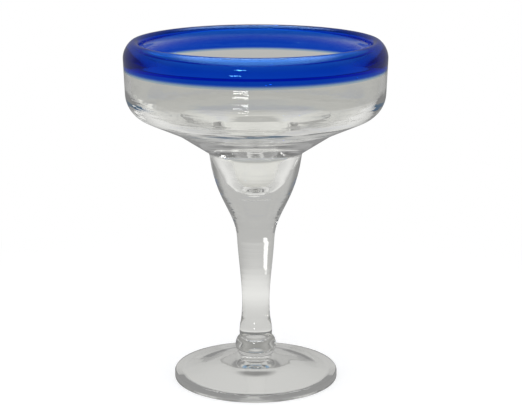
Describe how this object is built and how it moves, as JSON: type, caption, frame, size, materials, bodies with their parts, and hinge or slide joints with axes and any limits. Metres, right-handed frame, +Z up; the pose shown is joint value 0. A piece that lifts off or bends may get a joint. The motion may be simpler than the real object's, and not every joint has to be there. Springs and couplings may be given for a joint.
{
  "type": "margarita glass",
  "caption": "Hand-blown margarita glass: wide shallow bowl with a round-based well, cobalt-blue rolled rim band, tapered solid stem, knop and round conical foot",
  "frame": {"origin": "centre of the plane that the foot rests on", "axes": "+Z up along the axis of the glass; the glass is round, so +X and +Y are free"},
  "size_m": [0.1278, 0.1278, 0.17],
  "materials": {
    "clear_glass": "fire-polished clear recycled glass with a faint warm grey tint, small seeds and soft tool marks",
    "cobalt_glass": "fire-polished cobalt-blue glass, darker where it is seen edge on"
  },
  "bodies": {
    "root": {"foot": "clear_glass", "knop": "clear_glass", "stem": "clear_glass", "bowl": "clear_glass", "rim_band": "cobalt_glass"}
  },
  "joints": []
}
